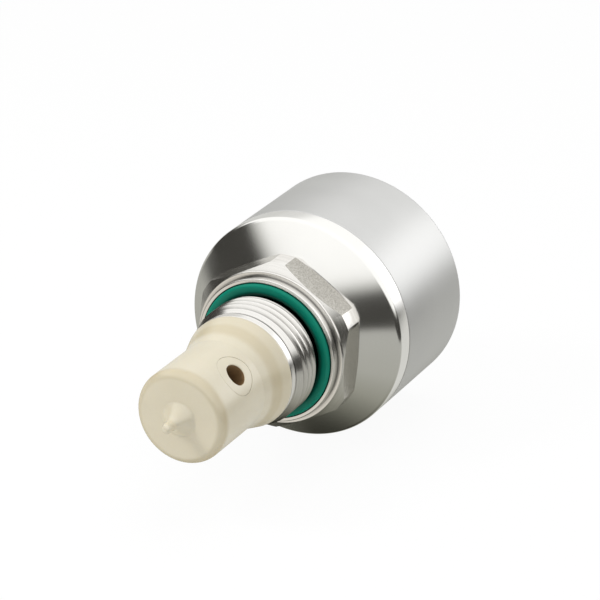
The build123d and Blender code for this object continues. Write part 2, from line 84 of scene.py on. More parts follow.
def turned(name, corners, steps=192):
    """A closed turned shell: its half section is drawn and spun about the sensor's axis."""
    points = outline(corners)
    piece = draw_line(name, points + points[:1])
    bpy.ops.mesh.select_all(action="SELECT")
    bpy.ops.mesh.spin(steps=steps, angle=2 * math.pi, center=(0, 0, 0), axis=(0, 1, 0))
    bpy.ops.mesh.select_all(action="SELECT")
    bpy.ops.mesh.remove_doubles(threshold=1e-6)
    bpy.ops.mesh.select_all(action="SELECT")
    bpy.ops.mesh.dissolve_degenerate(threshold=1e-7)
    bpy.ops.mesh.select_all(action="SELECT")
    bpy.ops.mesh.normals_make_consistent(inside=False)
    bpy.ops.object.mode_set(mode="OBJECT")
    return piece


def combine(piece, other, operation):
    """Cuts, meets or adds the other closed mesh, which is used up."""
    bpy.ops.object.select_all(action="DESELECT")
    bpy.context.view_layer.objects.active = piece
    piece.select_set(True)
    modifier = piece.modifiers.new("combine", "BOOLEAN")
    modifier.operation = operation
    modifier.solver = "EXACT"
    modifier.object = other
    bpy.ops.object.modifier_apply(modifier=modifier.name)
    bpy.data.objects.remove(other)


def threaded(name, profile, pitch, start, end, envelope, steps=144):
    """A right-handed thread: one pitch of its profile, screwed round and cut to length and envelope."""
    turns = math.ceil((end - start) / pitch) + 2
    spare = 0.05
    piece = draw_line(name, [Vector((r, start - pitch + y)) * 0.001 for r, y in profile])
    bpy.ops.object.mode_set(mode="OBJECT")
    screw = piece.modifiers.new("screw", "SCREW")
    screw.axis = "Y"
    screw.angle = 2 * math.pi
    screw.screw_offset = pitch * 0.001
    screw.iterations = turns
    screw.steps = steps
    screw.render_steps = steps
    screw.use_merge_vertices = True
    screw.merge_threshold = 1e-6
    bpy.ops.object.modifier_apply(modifier=screw.name)
    bpy.ops.object.mode_set(mode="EDIT")
    bpy.ops.mesh.select_all(action="SELECT")
    bpy.ops.mesh.remove_doubles(threshold=1e-6)
    for station, side in ((start - spare, -1), (end + spare, 1)):
        bpy.ops.mesh.select_all(action="SELECT")
        bpy.ops.mesh.bisect(
            plane_co=(0, station * 0.001, 0),
            plane_no=(0, side, 0),
            use_fill=True,
            clear_outer=True,
            threshold=1e-7,
        )
    bpy.ops.mesh.select_all(action="SELECT")
    bpy.ops.mesh.normals_make_consistent(inside=False)
    bpy.ops.object.mode_set(mode="OBJECT")
    combine(piece, turned(f"{name}_envelope", envelope, steps=steps), "INTERSECT")
    return piece


def join(pieces):
    """Joins shells into the first of them."""
    bpy.ops.object.select_all(action="DESELECT")
    for piece in pieces:
        piece.select_set(True)
    bpy.context.view_layer.objects.active = pieces[0]
    bpy.ops.object.join()
    return pieces[0]


def smooth(piece, degrees=28):
    """Smooth shading with hard edges where the surface turns by more than the angle."""
    bpy.ops.object.select_all(action="DESELECT")
    piece.select_set(True)
    bpy.context.view_layer.objects.active = piece
    bpy.ops.object.shade_smooth_by_angle(angle=math.radians(degrees))


thread_radius = 16.6245
thread_root_radius = 15.1455
thread_pitch = 2.309
thread_start = -11.95
thread_end = -3.0
thread_runout = 1.7
root_clearance = 0.04
nose_radius = 15.3045
nose_station = -14.6
relief_depth = 0.7
bore_radius = 12.5
undercut_radius = 14.9045
recess_depth = 1.6
lip_inner_radius = 19.0045
lip_outer_radius = 20.0545
lip_height = 2.1
collar_radius = 21.4045
collar_station = 2.8
hex_corner_radius = 23.7
hex_flat_distance = 21.5
hex_first_corner = 26.6
hex_corner_start = 4.1254
hex_corner_end = 10.0254
neck_radius = 21.0
neck_spigot_radius = 18.4
cap_station = 11.5842
cap_floor_station = 16.9842
counterbore_radius = 16.2
ring_nut_station = 9.3842

stub = turned(
    "thread_stub",
    [
        (bore_radius, nose_station, 0),
        (nose_radius, nose_station, 0.3),
        (nose_radius, thread_start - 0.55, 0),
        (nose_radius - relief_depth, thread_start - 0.4, 0),
        (nose_radius - relief_depth, thread_start - 0.1, 0),
        (thread_root_radius - root_clearance, thread_start + 0.1, 0),
        (thread_root_radius - root_clearance, thread_end + 1.2, 0),
        (undercut_radius, thread_end + thread_runout, 0.1),
        (undercut_radius, recess_depth, 0),
        (lip_inner_radius, recess_depth, 0),
        (lip_inner_radius, 0, 0.15),
        (lip_outer_radius, 0, 0.3),
        (lip_outer_radius, lip_height, 0),
        (collar_radius, lip_height, 0.3),
        (collar_radius, collar_station, 0),
        (neck_spigot_radius, collar_station, 0),
        (neck_spigot_radius, cap_floor_station, 0.3),
        (counterbore_radius, cap_floor_station, 0.3),
        (counterbore_radius, ring_nut_station, 0),
        (bore_radius, ring_nut_station, 0),
    ],
)

# Whitworth form: straight flanks at 55 degrees, with root and crest rounded alike
profile_steps = 24
flat_share = 0.11
rounding_share = 0.35
thread_depth = thread_radius - thread_root_radius
whitworth = []
for step in range(profile_steps + 1):
    share = step / profile_steps
    wave = 0.5 - 0.5 * math.cos(2 * math.pi * share)
    flank = min(1.0, max(0.0, (1 - abs(2 * share - 1) - flat_share) / (1 - 2 * flat_share)))
    height = rounding_share * wave + (1 - rounding_share) * flank
    whitworth.append((thread_root_radius + thread_depth * height, thread_pitch * share))
pipe_thread = threaded(
    "pipe_thread",
    whitworth,
    thread_pitch,
    thread_start,
    thread_end + thread_runout,
    [
        (0, thread_start, 0),
        (thread_root_radius - 0.3, thread_start, 0),
        (thread_radius, thread_start + 1.5, 0),
        (thread_radius, thread_end, 0),
        (undercut_radius - 0.2, thread_end + thread_runout, 0),
        (0, thread_end + thread_runout, 0),
    ],
)

hexagon_inner_radius = neck_spigot_radius - 0.5

hexagon = turned(
    "hexagon",
    [
        (hexagon_inner_radius, collar_station, 0),
        (collar_radius, collar_station, 0),
        (hex_corner_radius, hex_corner_start, 0.15),
        (hex_corner_radius, hex_corner_end, 0.15),
        (neck_radius, cap_station, 0),
        (hexagon_inner_radius, cap_station, 0),
    ],
    steps=240,
)
bpy.ops.object.mode_set(mode="EDIT")
for flat in range(6):
    flat_angle = math.radians(hex_first_corner + 30 + 60 * flat)
    outward = Vector((math.cos(flat_angle), 0, math.sin(flat_angle)))
    bpy.ops.mesh.select_all(action="SELECT")
    bpy.ops.mesh.bisect(
        plane_co=outward * hex_flat_distance * 0.001,
        plane_no=outward,
        use_fill=True,
        clear_outer=True,
        threshold=1e-7,
    )
bpy.ops.object.mode_set(mode="OBJECT")

process_connection = join([stub, pipe_thread, hexagon])
process_connection.name = "process_connection_turned"
smooth(process_connection)


def linear(hex_colour):
    """Linear colour with alpha from an sRGB hex value."""
    channels = [int(hex_colour[i : i + 2], 16) / 255 for i in (1, 3, 5)]
    return [c / 12.92 if c <= 0.04045 else ((c + 0.055) / 1.055) ** 2.4 for c in channels] + [1.0]


def add_node(tree, kind, settings, inputs):
    """Adds a node; an input takes a value, or a link where a socket is given."""
    node = tree.nodes.new(kind)
    for name, value in settings.items():
        setattr(node, name, value)
    for name, value in inputs.items():
        if isinstance(value, bpy.types.NodeSocket):
            tree.links.new(value, node.inputs[name])
        else:
            node.inputs[name].default_value = value
    return node


def start_material(name):
    """A material with its tree, its shader and the place on the object in metres."""
    material = bpy.data.materials.new(name)
    material.use_nodes = True
    tree = material.node_tree
    place = add_node(tree, "ShaderNodeTexCoord", {}, {}).outputs["Object"]
    return material, tree, tree.nodes["Principled BSDF"], place


def along_section(tree, place):
    """A length in metres that grows along any turned outline: 1.3 times the radius plus the station."""
    parts = add_node(tree, "ShaderNodeSeparateXYZ", {}, {"Vector": place})
    flat = add_node(tree, "ShaderNodeCombineXYZ", {}, {"X": parts.outputs["X"], "Y": parts.outputs["Z"]})
    radius = add_node(tree, "ShaderNodeVectorMath", {"operation": "LENGTH"}, {0: flat.outputs[0]})
    return add_node(
        tree,
        "ShaderNodeMath",
        {"operation": "MULTIPLY_ADD"},
        {0: radius.outputs["Value"], 1: 1.3, 2: parts.outputs["Y"]},
    ).outputs[0]


def painted_crevice_shade(tree, colour, shade, reach):
    """The colour with painted shade: it sinks to a darker shade colour where ambient occlusion finds the
    surface closed in within the reach in metres.
    """
    open_share = add_node(tree, "ShaderNodeAmbientOcclusion", {"samples": 8}, {"Distance": reach})
    light = add_node(
        tree,
        "ShaderNodeMapRange",
        {},
        {"Value": open_share.outputs["AO"], "From Min": 0.3, "From Max": 0.8},
    )
    return add_node(
        tree,
        "ShaderNodeMixRGB",
        {},
        {"Fac": light.outputs["Result"], "Color1": linear(shade), "Color2": colour},
    ).outputs["Color"]


# Turned stainless steel: fine feed marks about 0.15 mm apart run round the axis,
# and the tool's passes leave slightly lighter and darker bands; grooves and corners get painted shade
turned_steel, tree, shader, place = start_material("turned_stainless_steel")
run = along_section(tree, place)
marks = add_node(
    tree,
    "ShaderNodeTexNoise",
    {"noise_dimensions": "1D"},
    {"W": run, "Scale": 1 / 0.00015, "Detail": 2.0},
)
passes = add_node(
    tree,
    "ShaderNodeTexNoise",
    {"noise_dimensions": "1D"},
    {"W": run, "Scale": 1 / 0.0011, "Detail": 3.0},
)
tone = add_node(
    tree,
    "ShaderNodeMixRGB",
    {},
    {"Fac": passes.outputs["Fac"], "Color1": linear("#DEDCD8"), "Color2": linear("#F2F0ED")},
)
# Painted shade: the colour darkens to a near-black brown in thread roots, grooves and corners
crevice_shaded_tone = painted_crevice_shade(tree, tone.outputs["Color"], "#2B2926", 0.0015)
tree.links.new(crevice_shaded_tone, shader.inputs["Base Color"])
dull = add_node(
    tree,
    "ShaderNodeMapRange",
    {},
    {"Value": passes.outputs["Fac"], "To Min": 0.15, "To Max": 0.24},
)
tree.links.new(dull.outputs["Result"], shader.inputs["Roughness"])
shader.inputs["Metallic"].default_value = 1.0
shader.inputs["Anisotropic"].default_value = 0.6
shader.inputs["Anisotropic Rotation"].default_value = 0.25
around = add_node(tree, "ShaderNodeTangent", {"direction_type": "RADIAL", "axis": "Y"}, {})
tree.links.new(around.outputs["Tangent"], shader.inputs["Tangent"])
bump = add_node(
    tree,
    "ShaderNodeBump",
    {},
    {"Height": marks.outputs["Fac"], "Strength": 0.2, "Distance": 0.00001},
)
tree.links.new(bump.outputs["Normal"], shader.inputs["Normal"])

# Milled stainless steel: an end mill leaves a dull, even grain, drawn 0.4 mm coarse so that it shows
milled_steel, tree, shader, place = start_material("milled_stainless_steel")
grain = add_node(tree, "ShaderNodeTexNoise", {}, {"Vector": place, "Scale": 1 / 0.0004, "Detail": 3.0})
fleck = add_node(
    tree,
    "ShaderNodeMapRange",
    {},
    {"Value": grain.outputs["Fac"], "From Min": 0.3, "From Max": 0.7},
)
cloud = add_node(tree, "ShaderNodeTexNoise", {}, {"Vector": place, "Scale": 1 / 0.006, "Detail": 2.0})
tone = add_node(
    tree,
    "ShaderNodeMixRGB",
    {},
    {"Fac": fleck.outputs["Result"], "Color1": linear("#A09E97"), "Color2": linear("#CDCAC3")},
)
tree.links.new(tone.outputs["Color"], shader.inputs["Base Color"])
dull = add_node(
    tree,
    "ShaderNodeMapRange",
    {},
    {"Value": cloud.outputs["Fac"], "To Min": 0.2, "To Max": 0.27},
)
tree.links.new(dull.outputs["Result"], shader.inputs["Roughness"])
shader.inputs["Metallic"].default_value = 1.0
bump = add_node(
    tree,
    "ShaderNodeBump",
    {},
    {"Height": grain.outputs["Fac"], "Strength": 0.35, "Distance": 0.00002},
)
tree.links.new(bump.outputs["Normal"], shader.inputs["Normal"])

process_connection.data.materials.clear()
process_connection.data.materials.append(turned_steel)
process_connection.data.materials.append(milled_steel)
flat_area = 1e-5
for face in process_connection.data.polygons:
    if collar_station < face.center.y * 1000 < cap_station and abs(face.normal.y) < 0.01:
        off_axis = math.hypot(face.center.x, face.center.z) * 1000
        is_flat = off_axis < hex_flat_distance + 0.2 and face.area > flat_area
        face.material_index = 1 if is_flat else 0
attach(process_connection, "root")
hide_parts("process_connection")

# Process seal: a moulded ring of green fluorocarbon rubber, pressed into the
# collar's recess. Its rounded front stands proud of the lip.

seal_inner_radius = undercut_radius + 0.05
seal_outer_radius = lip_inner_radius - 0.18
seal_front = -0.9

process_seal = turned(
    "process_seal_ring",
    [
        (seal_inner_radius, recess_depth, 0),
        (seal_inner_radius, seal_front, 2.1),
        (seal_outer_radius, seal_front, 0.9),
        (seal_outer_radius, recess_depth, 0),
    ],
)
smooth(process_seal)

# Fluorocarbon rubber, moulded: satin and even, with a faint haze of talc, and painted shade:
# deeper green where the recess keeps the light out
green_rubber, tree, shader, place = start_material("green_fluorocarbon_rubber")
haze = add_node(tree, "ShaderNodeTexNoise", {}, {"Vector": place, "Scale": 1 / 0.003, "Detail": 4.0})
tone = add_node(
    tree,
    "ShaderNodeMixRGB",
    {},
    {"Fac": haze.outputs["Fac"], "Color1": linear("#00745E"), "Color2": linear("#00866F")},
)
# Painted shade: the green darkens in the recess and beside the lip
recess_shaded_green = painted_crevice_shade(tree, tone.outputs["Color"], "#003A2F", 0.004)
tree.links.new(recess_shaded_green, shader.inputs["Base Color"])
shader.inputs["Roughness"].default_value = 0.34
shader.inputs["Specular IOR Level"].default_value = 0.2
skin = add_node(tree, "ShaderNodeTexNoise", {}, {"Vector": place, "Scale": 1 / 0.0002, "Detail": 2.0})
bump = add_node(
    tree,
    "ShaderNodeBump",
    {},
    {"Height": skin.outputs["Fac"], "Strength": 0.15, "Distance": 0.00001},
)
tree.links.new(bump.outputs["Normal"], shader.inputs["Normal"])

process_seal.data.materials.append(green_rubber)
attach(process_seal, "root")
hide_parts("process_seal")

# Probe body: one moulding of natural polyether ketone. The barrel flares to a
# flange on the steel nose, its shank is held inside, and a nib stands on the tip.

barrel_radius = 12.65
cavity_radius = 10.8
cavity_floor_station = -44.1
flare_foot_station = -24.6
flare_radius = 13.3
flare_station = -21.6
tip_station = -46.1
nib_station = -53.3
nib_radius = 1.3
nib_foot_radius = 4.6
nib_neck_length = 3.3
shank_radius = 12.4
shank_rear_station = 13.5842
channel_station = -32.7
channel_direction = Vector((math.cos(math.radians(43.8)), 0, math.sin(math.radians(43.8))))
channel_radius = 2.9
flow_tube_radius = 5.6


def round_bar(name, radius, half_length, steps=128):
    """A bar along the flow channel, in metres from sizes in millimetres."""
    bpy.ops.object.select_all(action="DESELECT")
    bpy.ops.mesh.primitive_cylinder_add(
        vertices=steps,
        radius=radius * 0.001,
        depth=2 * half_length * 0.001,
        location=(0, channel_station * 0.001, 0),
        rotation=channel_direction.to_track_quat("Z", "Y").to_euler(),
    )
    bar = bpy.context.object
    bar.name = name
    bpy.ops.object.transform_apply(location=True, rotation=True, scale=True)
    return bar


probe_body = turned(
    "probe_moulding",
    [
        (0, nib_station, 0),
        (nib_radius, nib_station, 1.1),
        (nib_radius, tip_station - nib_neck_length, 3.2),
        (nib_foot_radius, tip_station, 1.0),
        (barrel_radius, tip_station, 2.4),
        (barrel_radius, flare_foot_station, 1.5),
        (flare_radius, flare_station, 2.5),
        (nose_radius, nose_station - 0.7, 0.5),
        (nose_radius, nose_station, 0.05),
        (shank_radius, nose_station, 0),
        (shank_radius, shank_rear_station, 0.3),
        (cavity_radius, shank_rear_station, 0.3),
        (cavity_radius, cavity_floor_station, 1.0),
        (0, cavity_floor_station, 0),
    ],
    steps=256,
)
combine(probe_body, round_bar("seat_cutter", flow_tube_radius + 0.03, 16), "DIFFERENCE")
smooth(probe_body)

# Natural polyether ketone, moulded: opaque beige with a soft gloss, a slightly uneven tone
# from the melt's flow, and a very fine orange peel. An amber band is painted round the tip's
# rounding, and another on the flare, where it is painted shade in the concave rounding
peek, tree, shader, place = start_material("natural_peek_moulded")
flow = add_node(tree, "ShaderNodeTexNoise", {}, {"Vector": place, "Scale": 1 / 0.011, "Detail": 3.0})
speck = add_node(tree, "ShaderNodeTexNoise", {}, {"Vector": place, "Scale": 1 / 0.0006, "Detail": 2.0})
blend = add_node(
    tree,
    "ShaderNodeMath",
    {"operation": "MULTIPLY_ADD"},
    {0: speck.outputs["Fac"], 1: 0.35, 2: flow.outputs["Fac"]},
)
tone = add_node(
    tree,
    "ShaderNodeMixRGB",
    {},
    {"Fac": blend.outputs[0], "Color1": linear("#D0C7AE"), "Color2": linear("#DAD2BB")},
)
# Painted amber bands along the axis: one round the tip's rounding, and one on the flare, which is painted
# shade
station = add_node(tree, "ShaderNodeSeparateXYZ", {}, {"Vector": place}).outputs["Y"]
share = add_node(
    tree,
    "ShaderNodeMapRange",
    {},
    {"Value": station, "From Min": nib_station * 0.001, "From Max": nose_station * 0.001},
)
skin = add_node(tree, "ShaderNodeValToRGB", {}, {"Fac": share.outputs["Result"]})
skin.color_ramp.interpolation = "EASE"
stops = skin.color_ramp.elements
for mark, depth in (
    (tip_station - 0.05, 0.0),
    (tip_station + 0.15, 0.5),
    (tip_station + 1.6, 0.8),
    (tip_station + 3.6, 0.0),
    (-22.6, 0.0),
    (-20.4, 0.8),
    (-18.8, 0.8),
    (-17.2, 0.3),
):
    stop = stops.new((mark - nib_station) / (nose_station - nib_station))
    stop.color = (depth, depth, depth, 1)
stops.remove(stops[0])
stops.remove(stops[len(stops) - 1])
painted_band_share = add_node(
    tree,
    "ShaderNodeMath",
    {"operation": "MULTIPLY"},
    {0: skin.outputs["Color"], 1: 0.42},
)
painted_band_tone = add_node(
    tree,
    "ShaderNodeMixRGB",
    {},
    {"Fac": painted_band_share.outputs[0], "Color1": tone.outputs["Color"], "Color2": linear("#AB965F")},
)
tree.links.new(painted_band_tone.outputs["Color"], shader.inputs["Base Color"])
shader.inputs["Roughness"].default_value = 0.27
shader.inputs["Specular IOR Level"].default_value = 0.75
shader.inputs["IOR"].default_value = 1.65
shader.inputs["Subsurface Weight"].default_value = 0.08
shader.inputs["Subsurface Radius"].default_value = (0.0012, 0.0009, 0.0005)
shader.inputs["Subsurface Scale"].default_value = 1.0
peel = add_node(tree, "ShaderNodeTexNoise", {}, {"Vector": place, "Scale": 1 / 0.0009, "Detail": 2.0})
bump = add_node(
    tree,
    "ShaderNodeBump",
    {},
    {"Height": peel.outputs["Fac"], "Strength": 0.12, "Distance": 0.00002},
)
tree.links.new(bump.outputs["Normal"], shader.inputs["Normal"])

probe_body.data.materials.append(peek)
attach(probe_body, "root")
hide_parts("probe_body")

# Flow tube: a bush of the same material, welded in across the barrel. Its ends
# follow the barrel's skin, and the channel's mouth is rounded.

bush_reach = 20.0
end_rings = (3.8, 4.4, 5.0)

flow_tube = turned(
    "channel_bush",
    [(channel_radius, -bush_reach, 0.35), (channel_radius, bush_reach, 0.35)]
    + [(ring, bush_reach, 0) for ring in end_rings]
    + [(flow_tube_radius, bush_reach, 0.2), (flow_tube_radius, -bush_reach, 0.2)]
    + [(ring, -bush_reach, 0) for ring in reversed(end_rings)],
    steps=128,
)
flow_tube.data.materials.append(peek)

# The same material, bored: the channel's wall is duller, and painted a darker amber-brown than the moulding
bored_peek, tree, shader, place = start_material("natural_peek_bored")
cloud = add_node(tree, "ShaderNodeTexNoise", {}, {"Vector": place, "Scale": 1 / 0.002, "Detail": 3.0})
tone = add_node(
    tree,
    "ShaderNodeMixRGB",
    {},
    {"Fac": cloud.outputs["Fac"], "Color1": linear("#7E6240"), "Color2": linear("#9C7F5C")},
)
tree.links.new(tone.outputs["Color"], shader.inputs["Base Color"])
shader.inputs["Roughness"].default_value = 0.5
flow_tube.data.materials.append(bored_peek)
for face in flow_tube.data.polygons:
    off_bore = math.hypot(face.center.x, face.center.z) * 1000 - channel_radius
    face.material_index = 1 if off_bore < 0.02 else 0
for vertex in flow_tube.data.vertices:
    skin = math.sqrt((barrel_radius * 0.001) ** 2 - vertex.co.z**2)
    side = math.copysign(1, vertex.co.y)
    vertex.co.y = side * (abs(vertex.co.y) - bush_reach * 0.001 + skin)
axis = Vector((0, 1, 0))
turn = Matrix((axis, channel_direction, axis.cross(channel_direction))).transposed()
flow_tube.data.transform(turn.to_4x4())
flow_tube.data.transform(Matrix.Translation((0, channel_station * 0.001, 0)))
smooth(flow_tube)
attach(flow_tube, "root")
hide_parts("flow_tube")

# Front cap: a stainless cone, finely turned and polished, with a rounded edge.
# It is welded to the hexagon's neck and to the tube, where a thin bright seam shows.

housing_radius = 31.0
cap_corner_station = 16.8119
seam_station = 22.3842
seam_chamfer = 0.25
tube_inner_radius = 29.5
slip_gap = 0.05
weld_lip_length = 3.6
weld_lip_thickness = 1.85

front_cap = turned(
    "front_cap_cone",
    [
        (neck_spigot_radius + slip_gap, cap_station, 0),
        (neck_radius, cap_station, 0.1),
        (housing_radius, cap_corner_station, 1.5),
        (housing_radius, seam_station - seam_chamfer, 0.1),
        (housing_radius - seam_chamfer, seam_station, 0),
        (tube_inner_radius - slip_gap, seam_station, 0),
        (tube_inner_radius - slip_gap, seam_station + weld_lip_length, 0.3),
        (tube_inner_radius - weld_lip_thickness, seam_station + weld_lip_length, 0.3),
        (tube_inner_radius - weld_lip_thickness, cap_floor_station + 2, 0),
        (tube_inner_radius - weld_lip_thickness - 2, cap_floor_station, 0),
        (neck_spigot_radius + slip_gap, cap_floor_station, 0.3),
    ],
    steps=256,
)
smooth(front_cap)

# Polished stainless steel: turning rings too fine to count, drawn 0.2 mm apart so that they
# show, pull every reflection out into wedges that run from the axis to the edge
polished_steel, tree, shader, place = start_material("polished_stainless_steel")
run = along_section(tree, place)
rings = add_node(
    tree,
    "ShaderNodeTexNoise",
    {"noise_dimensions": "1D"},
    {"W": run, "Scale": 1 / 0.0002, "Detail": 2.0},
)
wipe = add_node(tree, "ShaderNodeTexNoise", {}, {"Vector": place, "Scale": 1 / 0.009, "Detail": 3.0})
tone = add_node(
    tree,
    "ShaderNodeMixRGB",
    {},
    {"Fac": rings.outputs["Fac"], "Color1": linear("#EAE9E6"), "Color2": linear("#F6F5F3")},
)
tree.links.new(tone.outputs["Color"], shader.inputs["Base Color"])
dull = add_node(
    tree,
    "ShaderNodeMapRange",
    {},
    {"Value": wipe.outputs["Fac"], "To Min": 0.12, "To Max": 0.18},
)
tree.links.new(dull.outputs["Result"], shader.inputs["Roughness"])
shader.inputs["Metallic"].default_value = 1.0
shader.inputs["Anisotropic"].default_value = 0.7
shader.inputs["Anisotropic Rotation"].default_value = 0.25
around = add_node(tree, "ShaderNodeTangent", {"direction_type": "RADIAL", "axis": "Y"}, {})
tree.links.new(around.outputs["Tangent"], shader.inputs["Tangent"])
bump = add_node(
    tree,
    "ShaderNodeBump",
    {},
    {"Height": rings.outputs["Fac"], "Strength": 0.12, "Distance": 0.00001},
)
tree.links.new(bump.outputs["Normal"], shader.inputs["Normal"])

front_cap.data.materials.append(polished_steel)
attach(front_cap, "root")
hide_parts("front_cap")

# Housing tube and rear cover: thin stainless sheet, fine satin from blasting.
# The tube is welded to the cap, and the cover is let in and welded at the rear.

tube_rear_station = 54.8842
cover_rear_station = 53.8842
cover_front_station = 51.3842
plug_barrel_radius = 7.0

housing_tube = turned(
    "housing_shell",
    [
        (tube_inner_radius, seam_station, 0),
        (housing_radius - seam_chamfer, seam_station, 0),
        (housing_radius, seam_station + seam_chamfer, 0.1),
        (housing_radius, tube_rear_station, 0.9),
        (tube_inner_radius, tube_rear_station, 0.2),
    ],
    steps=256,
)
smooth(housing_tube)
rear_cover = turned(
    "rear_cover_disc",
    [
        (plug_barrel_radius + slip_gap, cover_front_station, 0),
        (tube_inner_radius - slip_gap, cover_front_station, 0.2),
        (tube_inner_radius - slip_gap, cover_rear_station, 0.5),
        (plug_barrel_radius + slip_gap, cover_rear_station, 0),
    ],
    steps=256,
)
smooth(rear_cover)

# Blasted stainless steel: an even satin grain near 0.1 mm, drawn 0.15 mm coarse so that it
# shows, spreads every reflection
satin_steel, tree, shader, place = start_material("satin_blasted_stainless_steel")
grit = add_node(tree, "ShaderNodeTexNoise", {}, {"Vector": place, "Scale": 1 / 0.00015, "Detail": 2.0})
cloud = add_node(tree, "ShaderNodeTexNoise", {}, {"Vector": place, "Scale": 1 / 0.014, "Detail": 3.0})
tone = add_node(
    tree,
    "ShaderNodeMixRGB",
    {},
    {"Fac": cloud.outputs["Fac"], "Color1": linear("#C6C6C5"), "Color2": linear("#D2D2D1")},
)
tree.links.new(tone.outputs["Color"], shader.inputs["Base Color"])
dull = add_node(
    tree,
    "ShaderNodeMapRange",
    {},
    {"Value": cloud.outputs["Fac"], "To Min": 0.36, "To Max": 0.44},
)
tree.links.new(dull.outputs["Result"], shader.inputs["Roughness"])
shader.inputs["Metallic"].default_value = 1.0
bump = add_node(
    tree,
    "ShaderNodeBump",
    {},
    {"Height": grit.outputs["Fac"], "Strength": 0.2, "Distance": 0.00001},
)
tree.links.new(bump.outputs["Normal"], shader.inputs["Normal"])

for piece, node in ((housing_tube, "housing_tube"), (rear_cover, "rear_cover")):
    piece.data.materials.append(satin_steel)
    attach(piece, "root")
    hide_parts(node)

# Plug connector shell: turned stainless sleeve with a cut M12 x 1 thread, a
# flange on the cover and a barrel inside, clamped by a nut from within.

plug_thread_radius = 6.0
plug_root_radius = 5.39
plug_core_radius = 5.3
plug_bore_radius = 4.6
plug_flange_radius = 9.0
plug_spigot_radius = 8.1
plug_inner_station = 46.3842
plug_spigot_station = 54.9342
plug_flange_station = 55.6842
plug_neck_station = 57.7842
plug_face_station = 67.2842

plug_sleeve = turned(
    "plug_sleeve",
    [
        (plug_bore_radius, plug_inner_station, 0),
        (plug_barrel_radius, plug_inner_station, 0.3),
        (plug_barrel_radius, plug_spigot_station, 0),
        (plug_spigot_radius, plug_spigot_station, 0),
        (plug_spigot_radius, cover_rear_station, 0),
        (plug_flange_radius, cover_rear_station, 0),
        (plug_flange_radius, plug_flange_station, 0.3),
        (plug_core_radius, plug_flange_station, 0.15),
        (plug_core_radius, plug_face_station - 0.35, 0),
        (plug_core_radius, plug_face_station, 0.1),
        (plug_bore_radius, plug_face_station, 0.3),
    ],
    steps=128,
)
plug_thread_pitch = 1.0
fine_profile = [
    (plug_root_radius, 0),
    (plug_root_radius, 0.06),
    (plug_thread_radius, 0.44),
    (plug_thread_radius, 0.56),
    (plug_root_radius, 0.94),
    (plug_root_radius, plug_thread_pitch),
]
plug_thread = threaded(
    "plug_thread",
    fine_profile,
    plug_thread_pitch,
    plug_neck_station,
    plug_face_station,
    [
        (plug_core_radius - 0.3, plug_neck_station, 0),
        (plug_core_radius + 0.1, plug_neck_station, 0),
        (plug_thread_radius, plug_neck_station + 0.6, 0),
        (plug_thread_radius, plug_face_station - 0.6, 0),
        (plug_core_radius + 0.1, plug_face_station, 0),
        (plug_core_radius - 0.3, plug_face_station, 0),
    ],
    steps=96,
)
connector_shell = join([plug_sleeve, plug_thread])
connector_shell.name = "plug_connector_shell"
smooth(connector_shell)
connector_shell.data.materials.clear()
connector_shell.data.materials.append(turned_steel)
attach(connector_shell, "root")
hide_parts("connector_shell")


def dress(nodes, material):
    """Gives CAD solids whose shape is right their material."""
    for node in nodes:
        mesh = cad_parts[node].data
        mesh.materials.clear()
        mesh.materials.append(material)


dress(["probe_ring_nut", "connector_nut"], turned_steel)
for kind in ("front_post", "rear_post", "board_screw"):
    dress([f"{kind}_{number}" for number in (1, 2, 3)], turned_steel)
dress(["probe_seal"], green_rubber)

# Insert and contacts: black glass-filled plastic carries four gold-plated pins.
# The same plastic makes the chips' packages and the link's bases.

# Glass-filled plastic, moulded: near black and half dull, with the fibres as a faint fleck
black_plastic, tree, shader, place = start_material("glass_filled_plastic_black")
fleck = add_node(tree, "ShaderNodeTexNoise", {}, {"Vector": place, "Scale": 1 / 0.0003, "Detail": 3.0})
tone = add_node(
    tree,
    "ShaderNodeMixRGB",
    {},
    {"Fac": fleck.outputs["Fac"], "Color1": linear("#1C1C1E"), "Color2": linear("#2E2E30")},
)
tree.links.new(tone.outputs["Color"], shader.inputs["Base Color"])
shader.inputs["Roughness"].default_value = 0.45
bump = add_node(
    tree,
    "ShaderNodeBump",
    {},
    {"Height": fleck.outputs["Fac"], "Strength": 0.2, "Distance": 0.00001},
)
tree.links.new(bump.outputs["Normal"], shader.inputs["Normal"])
dress(["connector_insert", "measuring_chip", "processor_chip", "board_link"], black_plastic)

# Nitrile rubber, moulded: dull black with a greyish bloom
black_rubber, tree, shader, place = start_material("nitrile_rubber_black")
bloom = add_node(tree, "ShaderNodeTexNoise", {}, {"Vector": place, "Scale": 1 / 0.001, "Detail": 3.0})
tone = add_node(
    tree,
    "ShaderNodeMixRGB",
    {},
    {"Fac": bloom.outputs["Fac"], "Color1": linear("#151515"), "Color2": linear("#232323")},
)
tree.links.new(tone.outputs["Color"], shader.inputs["Base Color"])
shader.inputs["Roughness"].default_value = 0.5
dress(["connector_seal"], black_rubber)

# Hard gold on turned brass: bright, with the faint rings of the turning
gold_plate, tree, shader, place = start_material("gold_plated_brass")
run = along_section(tree, place)
rings = add_node(
    tree,
    "ShaderNodeTexNoise",
    {"noise_dimensions": "1D"},
    {"W": run, "Scale": 1 / 0.0001, "Detail": 1.0},
)
tone = add_node(
    tree,
    "ShaderNodeMixRGB",
    {},
    {"Fac": rings.outputs["Fac"], "Color1": linear("#D9AE55"), "Color2": linear("#EBC673")},
)
tree.links.new(tone.outputs["Color"], shader.inputs["Base Color"])
shader.inputs["Metallic"].default_value = 1.0
shader.inputs["Roughness"].default_value = 0.22
dress([f"contact_pin_{number}" for number in (1, 2, 3, 4)], gold_plate)

# Coils: sintered ferrite rings in turns of enamelled copper wire, with a copper
# screen between them. The transformer's core is the same ferrite.

